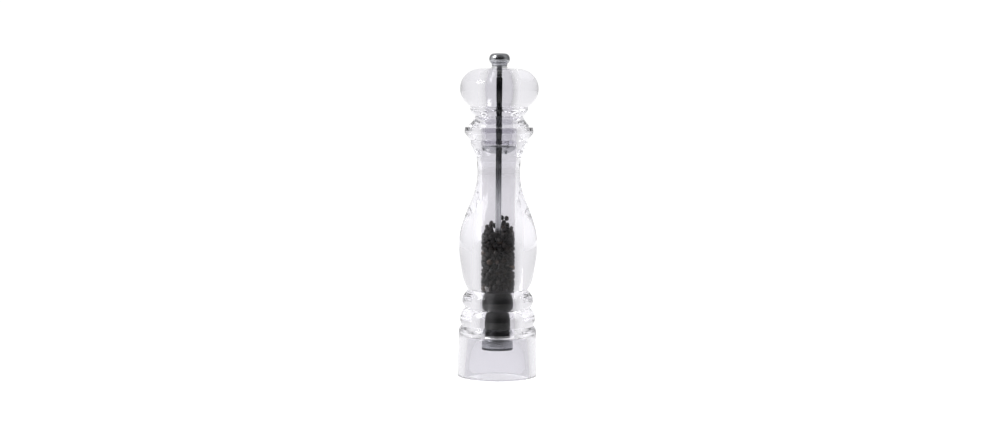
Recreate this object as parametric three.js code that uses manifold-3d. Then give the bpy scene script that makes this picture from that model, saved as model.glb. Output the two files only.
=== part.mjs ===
import * as THREE from 'three';
import { mergeVertices } from 'three/addons/utils/BufferGeometryUtils.js';
import Module from 'manifold-3d';

// Pepper mill, 220 mm tall, in millimetres with +Z up. Every piece is turned or set out round the Z axis
// and the mill stands on z = 0.

const wasm = await Module();
wasm.setup();

// ---- Overall sizes ----
const bodyHeight = 169.85;
const headHeight = 39.55;
const baseRadius = 27.4;
const headRadius = 26.6;
const knobHeight = 9.2;
const knobRadius = 7;

// ---- Fits ----
const touchGap = 0.3;
const runGap = 0.35;

// ---- Bored spaces in the body ----
const boreRadius = 12.1;
const boreDraft = 0.6;
const neckWall = 2.4;
const socketStep = 0.35;
const socketDepth = 23;
const socketShoulder = 5;
const skirtWall = 4.9;
const skirtDraft = 2.5;
const skirtDepth = 28.5;
const edgeRound = 0.9;

// ---- Grinding mechanism ----
const shaftSide = 4;
const shaftCorner = 0.25;
const cupInset = 1.5;
const cupDrop = 9.7;
const cupCornerRound = 1.3;
const cupHeight = 9.1;
const housingStand = 28.5;
const housingWall = 1.2;
const skirtSteps = 6;
const burrWall = 2.6;
const screwCircleInset = 1.4;
const plateThickness = 1.4;
const bridgeArmWidth = 2.4;
const burrHeight = 8;
const burrGap = 0.6;
const burrTeeth = 12;
const washerThickness = 0.6;
const clipThickness = 0.5;
const clipDrop = 1.3;
const springWire = 0.7;
const springTurns = 9;

// ---- Head fittings ----
const tenonLength = 11;
const tenonWall = 2.35;
const drivePlateThickness = 0.8;
const threadRadius = 1.95;
const threadLength = 17;
const bushWall = 0.8;
const domeHeight = 7;
const domeFlat = 4.8;
const crownThickness = 6.4;
const smallScrewRadius = 0.45;
const smallHeadRadius = 0.95;
const smallHeadHeight = 0.6;

// ---- Filling ----
const fillFromBase = 96;
const fillHeap = 12;

const roundSteps = 40;
const smallSteps = 24;
const upright = Math.PI / 2;
const thirdTurn = (2 * Math.PI) / 3;

// ---- Heights that follow from the sizes above ----
const neckRadius = boreRadius - boreDraft + neckWall + 0.4;
const socketRadius = boreRadius + socketStep;
const jointTop = bodyHeight + touchGap;
const headTop = jointTop + headHeight;
const cupBottom = skirtDepth - cupDrop;
const cupRadius = boreRadius - cupInset;
const plateTop = cupBottom + plateThickness;
const ringBottom = plateTop + touchGap;
const ringTop = cupBottom + cupHeight;
const housingBottom = ringTop + touchGap;
const housingTop = skirtDepth + housingStand;
const bridgeBottom = housingTop + touchGap;
const bridgeTop = bridgeBottom + plateThickness;
const clipBottom = plateTop + clipDrop;
const clipTop = clipBottom + clipThickness;
const burrWasherBottom = clipTop + touchGap;
const burrWasherTop = burrWasherBottom + washerThickness;
const squareBottom = burrWasherTop + touchGap;
const innerBurrTop = squareBottom + burrHeight;
const springBottom = innerBurrTop + touchGap;
const thrustTop = bridgeBottom - touchGap;
const thrustBottom = thrustTop - washerThickness - 0.1;
const springTop = thrustBottom - touchGap;
const springHeight = springTop - springBottom;
const tenonBottom = jointTop - tenonLength;
const tenonRadius = socketRadius - runGap;
const headBore = tenonRadius - tenonWall;
const drivePlateTop = tenonBottom - touchGap;
const drivePlateBottom = drivePlateTop - drivePlateThickness;
const cavityTop = headTop - crownThickness;
const nutWasherBottom = headTop + touchGap;
const nutWasherTop = nutWasherBottom + washerThickness - 0.1;
const knobBottom = nutWasherTop + touchGap;
const knobTop = knobBottom + knobHeight;
const threadTop = knobTop - 3.2;
const squareTop = threadTop - threadLength;
const shaftCornerReach = shaftSide / Math.SQRT2;
const slidingHole = shaftCornerReach + touchGap;
const roundHole = threadRadius + touchGap;
const outerBurrRadius = cupRadius - burrWall - touchGap;
const screwCircle = cupRadius - screwCircleInset;

// ---- Shaping helpers ----

function tidy(geometry) {
  geometry.deleteAttribute('normal');
  geometry.deleteAttribute('uv');
  return mergeVertices(geometry, 1e-4);
}

// Turns a closed outline, given as [radius, height] pairs going up the outside, round the Z axis.
function turned(outline, steps) {
  const points = outline.map(([radius, height]) => new THREE.Vector2(radius, height));
  return tidy(new THREE.LatheGeometry(points, steps).rotateX(upright));
}

function ringOutline(innerRadius, outerRadius, bottom, top) {
  return [
    [innerRadius, bottom],
    [outerRadius, bottom],
    [outerRadius, top],
    [innerRadius, top],
    [innerRadius, bottom],
  ];
}

function rodOutline(radius, bottom, top) {
  return [[0, bottom], [radius, bottom], [radius, top], [0, top]];
}

// Points of a smooth curve drawn through a few [radius, height] pairs.
function smooth(pairs, steps) {
  const curve = new THREE.SplineCurve(pairs.map(([radius, height]) => new THREE.Vector2(radius, height)));
  return curve.getPoints(steps).map((point) => [point.x, point.y]);
}

function prism(shape, bottom, top, curveSteps) {
  const settings = { depth: top - bottom, bevelEnabled: false, curveSegments: curveSteps };
  return tidy(new THREE.ExtrudeGeometry(shape, settings).translate(0, 0, bottom));
}

function squareShape(side, corner) {
  const half = side / 2;
  const shape = new THREE.Shape();
  shape.moveTo(half - corner, -half);
  shape.lineTo(half, -half + corner);
  shape.lineTo(half, half - corner);
  shape.lineTo(half - corner, half);
  shape.lineTo(-half + corner, half);
  shape.lineTo(-half, half - corner);
  shape.lineTo(-half, -half + corner);
  shape.lineTo(-half + corner, -half);
  return shape;
}

// A window between two arms of a three-armed plate, middle of the window at the given angle.
function windowShape(innerRadius, outerRadius, armWidth, middle) {
  const outerHalf = thirdTurn / 2 - Math.asin(armWidth / 2 / outerRadius);
  const innerHalf = thirdTurn / 2 - Math.asin(armWidth / 2 / innerRadius);
  const shape = new THREE.Shape();
  shape.absarc(0, 0, outerRadius, middle - outerHalf, middle + outerHalf, false);
  shape.absarc(0, 0, innerRadius, middle + innerHalf, middle - innerHalf, true);
  return shape;
}

function solid(geometry) {
  const mesh = new wasm.Mesh({
    numProp: 3,
    vertProperties: new Float32Array(geometry.attributes.position.array),
    triVerts: new Uint32Array(geometry.index.array),
  });
  return new wasm.Manifold(mesh);
}

function geometryOf(body) {
  const mesh = body.getMesh();
  const geometry = new THREE.BufferGeometry();
  geometry.setAttribute('position', new THREE.BufferAttribute(new Float32Array(mesh.vertProperties), 3));
  geometry.setIndex(new THREE.BufferAttribute(new Uint32Array(mesh.triVerts), 1));
  return geometry;
}

function cutFrom(geometry, cutters) {
  let body = solid(geometry);
  for (const cutter of cutters) {
    body = body.subtract(solid(cutter));
  }
  return geometryOf(body);
}

function threeRound(makeAt) {
  return [0, 1, 2].map((index) => makeAt(index * thirdTurn + thirdTurn / 2));
}

function rodAt(radius, bottom, top, distance, angle) {
  const rod = turned(rodOutline(radius, bottom, top), 16);
  return rod.translate(distance * Math.cos(angle), distance * Math.sin(angle), 0);
}

// A cone with helical saw teeth: radius and tooth depth run from the bottom to the top.
function toothedCone(bottomRadius, topRadius, bottom, top, bottomDepth, topDepth, twist) {
  const levels = 5;
  const perTooth = 4;
  const around = burrTeeth * perTooth;
  const positions = [];
  const index = [];
  for (let level = 0; level <= levels; level += 1) {
    const part = level / levels;
    const radius = bottomRadius + (topRadius - bottomRadius) * part;
    const depth = bottomDepth + (topDepth - bottomDepth) * part;
    for (let step = 0; step < around; step += 1) {
      const rise = (step % perTooth) / (perTooth - 1);
      const reach = radius - depth * (1 - rise);
      const angle = (step / around) * 2 * Math.PI + twist * part;
      positions.push(reach * Math.cos(angle), reach * Math.sin(angle), bottom + (top - bottom) * part);
    }
  }
  positions.push(0, 0, bottom, 0, 0, top);
  const bottomMiddle = (levels + 1) * around;
  const topRow = levels * around;
  for (let step = 0; step < around; step += 1) {
    const next = (step + 1) % around;
    for (let level = 0; level < levels; level += 1) {
      const low = level * around;
      const high = low + around;
      index.push(low + step, low + next, high + next, low + step, high + next, high + step);
    }
    index.push(bottomMiddle, next, step);
    index.push(bottomMiddle + 1, topRow + step, topRow + next);
  }
  const geometry = new THREE.BufferGeometry();
  geometry.setAttribute('position', new THREE.Float32BufferAttribute(positions, 3));
  geometry.setIndex(index);
  return geometry;
}

// ---- Materials ----

function clearAcrylic() {
  return new THREE.MeshStandardMaterial({ color: 0xeef0f2, roughness: 0.06, metalness: 0 });
}

function brightSteel() {
  return new THREE.MeshStandardMaterial({ color: 0xb4b6b8, roughness: 0.22, metalness: 1 });
}

function shaftSteel() {
  return new THREE.MeshStandardMaterial({ color: 0x8d8f92, roughness: 0.34, metalness: 1 });
}

function toolSteel() {
  return new THREE.MeshStandardMaterial({ color: 0x5c5e61, roughness: 0.48, metalness: 1 });
}

function springSteel() {
  return new THREE.MeshStandardMaterial({ color: 0x9a9c9f, roughness: 0.3, metalness: 1 });
}

function blackAcetal() {
  return new THREE.MeshStandardMaterial({ color: 0x1c1c1d, roughness: 0.45, metalness: 0 });
}

function blackPepper() {
  return new THREE.MeshStandardMaterial({ color: 0x2c2623, roughness: 0.85, metalness: 0 });
}

// ---- Body of the mill ----

// Foot, two rings, belly, neck and collar. Radii follow the base and the bore, heights follow the body.
function bodyOutside() {
  const r = (part) => baseRadius * part;
  const z = (part) => bodyHeight * part;
  const n = (extra) => neckRadius + extra;
  const foot = [
    [r(1) - edgeRound, 0],
    [r(1) - edgeRound * 0.3, edgeRound * 0.3],
    [r(1), edgeRound],
    [r(0.978), z(0.124)],
    [r(0.974), z(0.18)],
  ];
  const footShoulder = smooth([[r(0.972), z(0.183)], [r(0.952), z(0.194)], [r(0.905), z(0.2055)]], 4);
  const lowRing = smooth([
    [r(0.905), z(0.2065)], [r(0.933), z(0.2195)], [r(0.938), z(0.235)],
    [r(0.915), z(0.2515)], [r(0.862), z(0.265)], [r(0.8), z(0.2725)],
  ], 8);
  const highRing = smooth([
    [r(0.8), z(0.274)], [r(0.853), z(0.284)], [r(0.887), z(0.302)],
    [r(0.866), z(0.3225)], [r(0.79), z(0.339)], [r(0.753), z(0.3485)],
  ], 8);
  const belly = smooth([
    [r(0.753), z(0.3515)], [r(0.8), z(0.363)], [r(0.862), z(0.388)], [r(0.918), z(0.432)],
    [r(0.962), z(0.48)], [r(0.976), z(0.527)], [r(0.953), z(0.574)], [r(0.88), z(0.62)],
    [r(0.761), z(0.672)], [n(3.1), z(0.722)], [n(0.9), z(0.771)], [n(0.1), z(0.81)],
    [n(0.35), z(0.855)], [n(0.9), z(0.884)], [n(2.7), z(0.907)], [n(4.2), z(0.9255)],
  ], 24);
  const bead = smooth([[n(4.7), z(0.931)], [n(5), z(0.938)], [n(4.9), z(0.9465)]], 3);
  const collar = [
    [n(7.2), z(0.9625)],
    [n(8.9), z(0.977)],
    [n(9.05), z(0.983)],
    [n(8.75), z(0.9965)],
    [n(8.4), z(1)],
  ];
  return [...foot, ...footShoulder, ...lowRing, ...highRing, ...belly, ...bead, ...collar];
}

// Socket for the head, tapered pepper chamber and the hollow under the mill.
function bodyInside() {
  const socketBottom = bodyHeight - socketDepth;
  const skirtTopRadius = baseRadius - skirtWall - skirtDraft;
  const fillet = 2.5;
  const socket = [
    [socketRadius + 0.9, bodyHeight],
    [socketRadius, bodyHeight - 0.9],
    [socketRadius - 0.1, socketBottom],
    [boreRadius - boreDraft, socketBottom - socketShoulder],
  ];
  const hollow = [
    [boreRadius, skirtDepth],
    [skirtTopRadius - fillet, skirtDepth],
    [skirtTopRadius - fillet * 0.3, skirtDepth - fillet * 0.3],
    [skirtTopRadius + 0.2, skirtDepth - fillet],
    [baseRadius - skirtWall, edgeRound],
    [baseRadius - skirtWall + edgeRound, 0],
  ];
  return [...socket, ...hollow];
}

function bodyShell() {
  const outside = bodyOutside();
  return turned([...outside, ...bodyInside(), outside[0]], roundSteps);
}

// Steel wall of the cup: a thick ring that hangs in the hollow.
function burrCup() {
  const ring = turned(ringOutline(outerBurrRadius + touchGap, cupRadius, ringBottom, ringTop), roundSteps);
  const holes = threeRound((angle) => rodAt(screwReach(), ringBottom - 1, ringTop + 1, screwCircle, angle));
  return cutFrom(ring, holes);
}

// Black funnel that hangs in the bore by its top flange; two flared skirts run down to the seat of the burr.
function burrHousing() {
  const burrSeat = outerBurrRadius + touchGap;
  const seatWall = burrSeat + housingWall;
  const mouth = seatTop() + touchGap;
  const throat = outerBurrRadius - 2.8;
  const flange = boreRadius - touchGap - 0.3;
  const flangeBottom = housingTop - 1.4;
  const run = flangeBottom - mouth;
  const at = (part) => mouth + run * part;
  const lowSkirt = smooth([
    [seatWall, mouth], [seatWall - 0.3, at(0.15)], [seatWall - 1.5, at(0.33)], [throat + 1, at(0.455)],
  ], skirtSteps);
  const highSkirt = smooth([
    [flange - 0.15, at(0.49)], [flange - 0.2, at(0.61)], [flange - 0.9, at(0.77)],
    [flange - 2.6, at(0.91)], [flange - 4.2, flangeBottom],
  ], skirtSteps);
  const outline = [
    [burrSeat, housingBottom],
    [burrSeat + 0.3, housingBottom],
    [seatWall - 0.1, housingBottom + 1.4],
    [seatWall, housingBottom + 2.6],
    ...lowSkirt,
    [flange - 0.5, at(0.47)],
    ...highSkirt,
    [flange, flangeBottom],
    [flange, housingTop],
    [flange - 3, housingTop],
    [throat, housingTop - 2.2],
    [throat, mouth + 0.8],
    [burrSeat - 1.2, mouth],
    [burrSeat, mouth],
    [burrSeat, housingBottom],
  ];
  return turned(outline, roundSteps);
}

function screwReach() {
  return smallScrewRadius + touchGap;
}

function screwTop() {
  return ringTop - touchGap;
}

function seatTop() {
  return innerBurrTop + 1.6;
}

// Fixed ring of teeth, wider at the bottom, that the turning cone rises into.
function outerBurr() {
  const blank = turned(rodOutline(outerBurrRadius, ringBottom, seatTop()), roundSteps);
  const top = seatTop() + 0.5;
  const bottom = ringBottom - 0.5;
  const hole = toothedCone(
    outerBurrRadius - 0.9, outerBurrRadius - 2, bottom, top, 0.45, 1, -0.5,
  );
  return cutFrom(blank, [hole]);
}

function armedPlate(outline, hubRadius, windowRadius, holeRadius, extraCutters) {
  const bottom = outline[0][1] - 1;
  const top = outline[2][1] + 5;
  const windows = threeRound((angle) => prism(
    windowShape(hubRadius, windowRadius, bridgeArmWidth, angle - thirdTurn / 2), bottom, top, 8,
  ));
  const hole = turned(rodOutline(holeRadius, bottom, top), smallSteps);
  return cutFrom(turned(outline, roundSteps), [...windows, hole, ...extraCutters]);
}

// Three-armed guide over the burrs; the shaft turns in its hub.
function upperBridge() {
  const rim = boreRadius - touchGap - 0.2;
  const outline = rodOutline(rim, bridgeBottom, bridgeTop);
  return armedPlate(outline, slidingHole + 1.5, rim - 1.6, slidingHole, []);
}

// Bottom of the cup: a rounded three-armed plate that keeps the fixed burr in its seat.
function lowerBridge() {
  const corner = cupCornerRound;
  const outline = [
    [0, cupBottom],
    [cupRadius - corner, cupBottom],
    [cupRadius - corner * 0.4, cupBottom + corner * 0.2],
    [cupRadius - corner * 0.1, cupBottom + corner * 0.6],
    [cupRadius, plateTop],
    [0, plateTop],
  ];
  const holes = threeRound((angle) => rodAt(screwReach(), cupBottom - 1, plateTop + 1, screwCircle, angle));
  const seats = threeRound((angle) => rodAt(
    smallHeadRadius + touchGap, cupBottom - 1, cupBottom + smallHeadHeight + touchGap, screwCircle, angle,
  ));
  return armedPlate(outline, roundHole + 1.4, screwCircle - smallHeadRadius - 0.9, roundHole, [...holes, ...seats]);
}

function slottedScrew(headBottom, tipTop) {
  const headTopHeight = headBottom + smallHeadHeight;
  const outline = [
    [0, headBottom],
    [smallHeadRadius, headBottom],
    [smallHeadRadius, headTopHeight],
    [smallScrewRadius, headTopHeight],
    [smallScrewRadius, tipTop],
    [0, tipTop + smallScrewRadius],
  ];
  const slot = new THREE.BoxGeometry(3 * smallHeadRadius, 0.3, smallHeadHeight);
  return cutFrom(turned(outline, 16), [tidy(slot.translate(0, 0, headBottom))]);
}

function retainingScrew(angle) {
  const screw = slottedScrew(cupBottom, screwTop() - 0.4);
  return screw.translate(screwCircle * Math.cos(angle), screwCircle * Math.sin(angle), 0);
}

// Bulk of peppercorns standing in the chamber, heaped round the shaft.
function peppercornFill() {
  const wallAt = (height) => {
    const run = bodyHeight - socketDepth - socketShoulder - skirtDepth;
    return boreRadius - (boreDraft * (height - skirtDepth)) / run - touchGap;
  };
  const bottom = bridgeTop + touchGap;
  const edge = fillFromBase;
  const peak = fillFromBase + fillHeap;
  const hole = slidingHole + 0.1;
  const outer = wallAt(edge);
  const heap = smooth([
    [outer, edge], [outer * 0.82, edge + fillHeap * 0.42], [hole + 2, peak], [hole, peak - 1],
  ], 7);
  return turned([[hole, bottom], [wallAt(bottom), bottom], ...heap, [hole, bottom]], 36);
}

// ---- Turning core ----

function thrustWasher() {
  return turned(ringOutline(slidingHole, slidingHole + 1.8, thrustBottom, thrustTop), smallSteps);
}

class CoilCurve extends THREE.Curve {
  getPoint(part, target = new THREE.Vector3()) {
    const angle = part * springTurns * 2 * Math.PI;
    const radius = slidingHole + springWire * 0.9;
    const height = springBottom + springWire / 2 + part * (springHeight - springWire);
    return target.set(radius * Math.cos(angle), radius * Math.sin(angle), height);
  }
}

function burrSpring() {
  const wire = new THREE.Shape();
  wire.absarc(0, 0, springWire / 2 - 0.02, 0, 2 * Math.PI, false);
  const settings = { steps: 16 * springTurns, curveSegments: 3, bevelEnabled: false, extrudePath: new CoilCurve() };
  return tidy(new THREE.ExtrudeGeometry(wire, settings));
}

// ---- Rotor ----

// Square rod with a round threaded top and a round lower end grooved for the clip.
function driveShaft() {
  const square = prism(squareShape(shaftSide, shaftCorner), squareBottom, squareTop, 1);
  const groove = clipThickness + 2 * touchGap;
  const lower = turned([
    [0, plateTop - 0.6],
    [threadRadius - 0.3, plateTop - 0.6],
    [threadRadius, plateTop - 0.3],
    [threadRadius, clipBottom - touchGap],
    [threadRadius - 0.6, clipBottom - touchGap],
    [threadRadius - 0.6, clipBottom - touchGap + groove],
    [threadRadius, clipBottom - touchGap + groove],
    [threadRadius, squareBottom + 1],
    [0, squareBottom + 1],
  ], 20);
  const upper = turned([
    [0, squareTop - 1],
    [threadRadius, squareTop - 1],
    [threadRadius, threadTop - 0.5],
    [threadRadius - 0.5, threadTop],
    [0, threadTop],
  ], 20);
  return geometryOf(solid(square).add(solid(lower)).add(solid(upper)));
}

// Toothed cone on the square of the shaft; it turns inside the fixed ring.
function innerBurr() {
  const fixedBottom = outerBurrRadius - 0.9 - 0.45;
  const fixedTop = outerBurrRadius - 2 - 1;
  const cone = toothedCone(fixedBottom - burrGap, fixedTop - burrGap, squareBottom, innerBurrTop, 0.4, 0.6, 0.5);
  const hole = prism(squareShape(shaftSide + 2 * touchGap, shaftCorner), squareBottom - 1, innerBurrTop + 1, 1);
  return cutFrom(cone, [hole]);
}

function burrWasher() {
  return turned(ringOutline(roundHole, roundHole + 2, burrWasherBottom, burrWasherTop), smallSteps);
}

// Open clip sprung into the groove of the shaft.
function burrClip() {
  const inner = threadRadius - 0.6 + touchGap;
  const ring = turned(ringOutline(inner, inner + 1.8, clipBottom, clipTop), smallSteps);
  const gap = new THREE.BoxGeometry(4, 2.2, 3);
  return cutFrom(ring, [tidy(gap.translate(2.8, 0, clipBottom))]);
}

// ---- Head ----

// Foot, ring and round crown; the tenon below sits in the socket of the body.
function headOutside() {
  const z = (part) => jointTop + headHeight * part;
  const r = (part) => headRadius * part;
  const foot = smooth([[r(0.77), jointTop], [r(0.745), z(0.04)], [r(0.66), z(0.11)], [r(0.608), z(0.176)]], 5);
  const ring = smooth([[r(0.608), z(0.184)], [r(0.69), z(0.235)], [r(0.732), z(0.29)], [r(0.735), z(0.345)]], 5);
  const crown = smooth([
    [r(0.762), z(0.362)], [r(0.87), z(0.43)], [r(0.955), z(0.52)], [r(1), z(0.63)],
    [r(0.985), z(0.74)], [r(0.93), z(0.825)], [r(0.83), z(0.905)], [r(0.69), z(0.965)],
    [r(0.5), z(0.994)], [r(0.3), z(1)],
  ], 17);
  const tenon = [[tenonRadius - 0.5, tenonBottom], [tenonRadius, tenonBottom + 0.5], [tenonRadius, jointTop]];
  return [...tenon, ...foot, ...ring, ...crown];
}

function headInside() {
  const hole = roundHole + bushWall + touchGap;
  const domeEdge = cavityTop - domeHeight;
  const dome = smooth([
    [domeFlat, cavityTop], [headBore * 0.78, cavityTop - domeHeight * 0.3],
    [headBore * 0.96, cavityTop - domeHeight * 0.7], [headBore, domeEdge],
  ], 6);
  return [[hole, headTop], [hole, cavityTop], ...dome, [headBore, tenonBottom]];
}

function headShell() {
  const outside = headOutside();
  const blank = turned([...outside, ...headInside(), outside[0]], roundSteps);
  const holes = threeRound((angle) => rodAt(
    smallScrewRadius + touchGap, tenonBottom - 1, tenonBottom + 4.4, plateScrewCircle(), angle,
  ));
  return cutFrom(blank, holes);
}

function plateScrewCircle() {
  return headBore + tenonWall / 2 - 0.1;
}

// Disc under the tenon with the square hole that turns the shaft.
function drivePlate() {
  const blank = turned(rodOutline(tenonRadius - 0.25, drivePlateBottom, drivePlateTop), roundSteps);
  const square = prism(
    squareShape(shaftSide + 2 * touchGap, shaftCorner), drivePlateBottom - 1, drivePlateTop + 1, 1,
  );
  const holes = threeRound((angle) => rodAt(
    smallScrewRadius + touchGap, drivePlateBottom - 1, drivePlateTop + 1, plateScrewCircle(), angle,
  ));
  return cutFrom(blank, [square, ...holes]);
}

function plateScrew(angle) {
  const screw = slottedScrew(drivePlateBottom - touchGap - smallHeadHeight, tenonBottom + 3.6);
  return screw.translate(plateScrewCircle() * Math.cos(angle), plateScrewCircle() * Math.sin(angle), 0);
}

// Flanged steel bush lining the hole in the crown.
function headBush() {
  const tube = roundHole + bushWall;
  const flangeTop = cavityTop - touchGap;
  return turned([
    [roundHole, flangeTop - 0.9],
    [tube + 1.1, flangeTop - 0.9],
    [tube + 1.1, flangeTop],
    [tube, flangeTop],
    [tube, headTop - 0.2],
    [roundHole, headTop - 0.2],
    [roundHole, flangeTop - 0.9],
  ], smallSteps);
}

// ---- Nut ----

function nutWasher() {
  return turned(ringOutline(roundHole, knobRadius - 1.5, nutWasherBottom, nutWasherTop), smallSteps);
}

// Barrel-shaped knob on a flared foot, with a blind threaded hole.
function finialNut() {
  const z = (part) => knobBottom + knobHeight * part;
  const r = (part) => knobRadius * part;
  const foot = [[roundHole, knobBottom], [r(0.72), knobBottom], [r(0.75), z(0.06)], [r(0.8), z(0.22)]];
  const barrel = smooth([
    [r(0.845), z(0.27)], [r(0.935), z(0.36)], [r(1), z(0.53)], [r(0.975), z(0.7)],
    [r(0.87), z(0.86)], [r(0.66), z(0.96)], [r(0.3), z(0.995)], [0, z(1)],
  ], 11);
  return turned([...foot, ...barrel, [0, threadTop + 0.7], [roundHole, threadTop + 0.7], foot[0]], 32);
}

// ---- Assembly ----

const mill = new THREE.Group();
mill.name = 'pepper_mill';

function place(name, geometry, material) {
  const mesh = new THREE.Mesh(geometry, material);
  mesh.name = name;
  mill.add(mesh);
}

place('body_shell', bodyShell(), clearAcrylic());
place('burr_housing', burrHousing(), blackAcetal());
place('burr_cup', burrCup(), brightSteel());
place('outer_burr', outerBurr(), toolSteel());
place('upper_bridge', upperBridge(), blackAcetal());
place('lower_bridge', lowerBridge(), brightSteel());
threeRound(retainingScrew).forEach((screw, index) => place(`retaining_screw_${index + 1}`, screw, springSteel()));
place('peppercorn_fill', peppercornFill(), blackPepper());
place('thrust_washer', thrustWasher(), springSteel());
place('burr_spring', burrSpring(), springSteel());
place('drive_shaft', driveShaft(), shaftSteel());
place('inner_burr', innerBurr(), toolSteel());
place('burr_washer', burrWasher(), springSteel());
place('burr_clip', burrClip(), springSteel());
place('head_shell', headShell(), clearAcrylic());
place('drive_plate', drivePlate(), brightSteel());
threeRound(plateScrew).forEach((screw, index) => place(`plate_screw_${index + 1}`, screw, springSteel()));
place('head_bush', headBush(), brightSteel());
place('nut_washer', nutWasher(), brightSteel());
place('finial_nut', finialNut(), brightSteel());

export default mill;
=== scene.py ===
import math

import bpy
import numpy as np
from mathutils import Euler, Matrix, Vector


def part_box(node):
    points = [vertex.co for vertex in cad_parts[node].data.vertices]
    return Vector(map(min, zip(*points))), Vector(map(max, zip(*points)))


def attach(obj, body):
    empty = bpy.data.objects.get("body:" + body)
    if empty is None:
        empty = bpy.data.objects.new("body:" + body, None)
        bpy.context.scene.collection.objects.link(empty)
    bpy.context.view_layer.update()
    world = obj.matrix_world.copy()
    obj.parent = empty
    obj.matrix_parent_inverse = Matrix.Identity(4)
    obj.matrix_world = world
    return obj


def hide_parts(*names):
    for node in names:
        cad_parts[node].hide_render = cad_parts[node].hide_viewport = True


# A clear acrylic pepper mill, 220 mm tall, standing on z = 0 with its axis on Z. Outlines are written in
# millimetres as (radius, height) and turned to metres where a piece is made.

MM = 0.001
FULL_TURN = 2 * math.pi
THIRD_TURN = FULL_TURN / 3

SHELL_SIDES = 144
METAL_SIDES = 96
SMALL_SIDES = 32

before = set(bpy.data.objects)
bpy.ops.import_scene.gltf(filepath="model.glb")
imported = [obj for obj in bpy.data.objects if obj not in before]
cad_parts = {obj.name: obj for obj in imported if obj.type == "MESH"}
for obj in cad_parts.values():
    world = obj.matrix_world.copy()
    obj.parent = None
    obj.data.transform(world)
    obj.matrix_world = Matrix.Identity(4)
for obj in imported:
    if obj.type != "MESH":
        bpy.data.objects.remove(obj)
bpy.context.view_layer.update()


# ---- Heights taken from the CAD nodes ----

def node_heights(node):
    low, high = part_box(node)
    return low.z / MM, high.z / MM


def node_radius(node):
    low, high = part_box(node)
    return (high.x - low.x) / 2 / MM


BODY_HEIGHT = node_heights("body_shell")[1]
BASE_RADIUS = node_radius("body_shell")
CUP_BOTTOM, PLATE_TOP = node_heights("lower_bridge")
RING_BOTTOM, RING_TOP = node_heights("burr_cup")
CUP_RADIUS = node_radius("lower_bridge")
BRIDGE_TOP = node_heights("upper_bridge")[1]
TENON_BOTTOM, HEAD_TOP = node_heights("head_shell")
DRIVE_PLATE_BOTTOM, DRIVE_PLATE_TOP = node_heights("drive_plate")
DRIVE_PLATE_RADIUS = node_radius("drive_plate")
SHAFT_BOTTOM, SHAFT_TOP = node_heights("drive_shaft")
BUSH_BOTTOM, BUSH_TOP = node_heights("head_bush")
BUSH_RADIUS = node_radius("head_bush")
WASHER_BOTTOM, WASHER_TOP = node_heights("nut_washer")
WASHER_RADIUS = node_radius("nut_washer")
KNOB_BOTTOM, KNOB_TOP = node_heights("finial_nut")
KNOB_RADIUS = node_radius("finial_nut")


# ---- Sizes that several pieces share ----

TOUCH_GAP = 0.3
RUN_GAP = 0.35
JOINT_TOP = BODY_HEIGHT + TOUCH_GAP
CROWN_RADIUS = 26.6
NECK_RADIUS = 14.3
SOCKET_RADIUS = 12.45
SOCKET_DEPTH = 23
SOCKET_SHOULDER = 5
TENON_RADIUS = SOCKET_RADIUS - RUN_GAP
TENON_WALL = 2.35
BORE_RADIUS = 12.1
BORE_TOP_RADIUS = 11.5
CHAMBER_TOP = BODY_HEIGHT - SOCKET_DEPTH - SOCKET_SHOULDER
SKIRT_DEPTH = 28.5
SKIRT_WALL = 4.9
SKIRT_DRAFT = 2.5
BURR_SEAT = CUP_RADIUS - 2.6
SHAFT_SIDE = 4.0
THREAD_RADIUS = 1.95
THREAD_LENGTH = 17
THREAD_PITCH = 0.7
ROUND_HOLE = THREAD_RADIUS + TOUCH_GAP
SCREW_HOLE = 0.75


# ---- Shaping ----

def deselect_all():
    bpy.ops.object.select_all(action="DESELECT")


def name_piece(name):
    piece = bpy.context.active_object
    piece.name = name
    piece.data.name = name
    return piece


def make_active(piece):
    deselect_all()
    piece.select_set(True)
    bpy.context.view_layer.objects.active = piece


def settle(piece):
    """Puts the place of a piece into its mesh."""
    make_active(piece)
    bpy.ops.object.transform_apply(location=True, rotation=True, scale=True)


def soften(piece, degrees=35):
    make_active(piece)
    bpy.ops.object.shade_smooth_by_angle(angle=math.radians(degrees))


def flowing(points, steps):
    """Points of an even curve through a few (radius, height) points."""
    points = [Vector(point) for point in points]
    ends = [points[0] * 2 - points[1]] + points + [points[-1] * 2 - points[-2]]
    spans = len(points) - 1
    result = []
    for step in range(steps + 1):
        place = min(step / steps * spans, spans - 1e-9)
        span = int(place)
        part = place - span
        before, start, end, after = ends[span:span + 4]
        point = 0.5 * (
            2 * start + (end - before) * part
            + (2 * before - 5 * start + 4 * end - after) * part ** 2
            + (3 * start - before - 3 * end + after) * part ** 3
        )
        result.append((point.x, point.y))
    return result


def rounded(before, corner, after, radius, steps=6):
    """A corner of an outline eased by a curve that starts a radius before it and ends one after."""
    corner = Vector(corner)
    into = (corner - Vector(before)).normalized() * radius
    out = (Vector(after) - corner).normalized() * radius
    start, end = corner - into, corner + out
    result = []
    for step in range(steps + 1):
        part = step / steps
        point = start * (1 - part) ** 2 + corner * 2 * part * (1 - part) + end * part ** 2
        result.append((point.x, point.y))
    return result


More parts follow.
